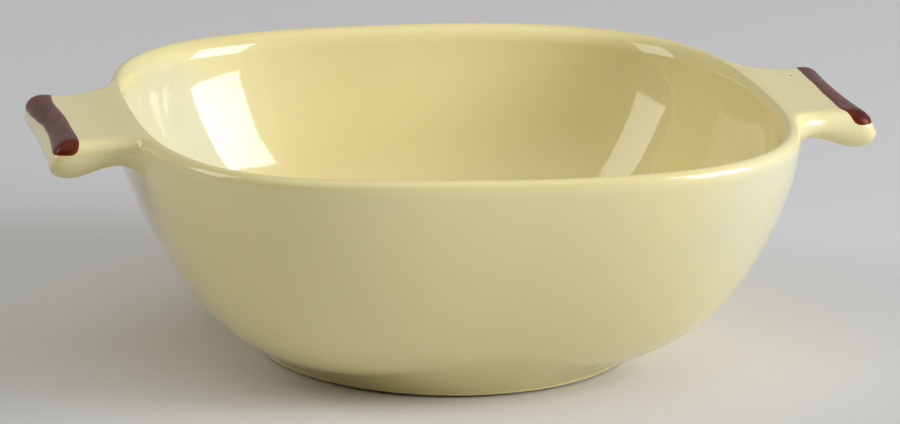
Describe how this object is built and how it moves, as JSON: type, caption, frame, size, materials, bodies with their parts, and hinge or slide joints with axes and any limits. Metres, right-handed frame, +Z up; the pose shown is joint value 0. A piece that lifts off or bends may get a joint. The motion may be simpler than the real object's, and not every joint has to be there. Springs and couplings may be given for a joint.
{
  "type": "lugged cereal bowl",
  "caption": "Rounded-square glazed earthenware bowl on a round foot ring, with a flat tab lug at either side to lift it by, for a serving of cereal or soup.",
  "frame": {"origin": "middle of the foot ring's resting face, which is the bottom centre of the bowl's box", "axes": "+Z up, +X along the lugs towards the right-hand lug, +Y away from the viewer"},
  "size_m": [0.1716, 0.139, 0.0524],
  "materials": {
    "clay": "matt biscuit-fired earthenware",
    "yellow_glaze": "glossy butter-yellow glaze",
    "brown_glaze": "glossy brushed brown glaze"
  },
  "bodies": {
    "root": {"bowl_body": "clay", "foot_ring": "clay", "left_lug": "clay", "right_lug": "clay", "glaze_coat": "yellow_glaze", "foot_well_glaze": "yellow_glaze", "left_lug_band": "brown_glaze", "right_lug_band": "brown_glaze"}
  },
  "joints": []
}
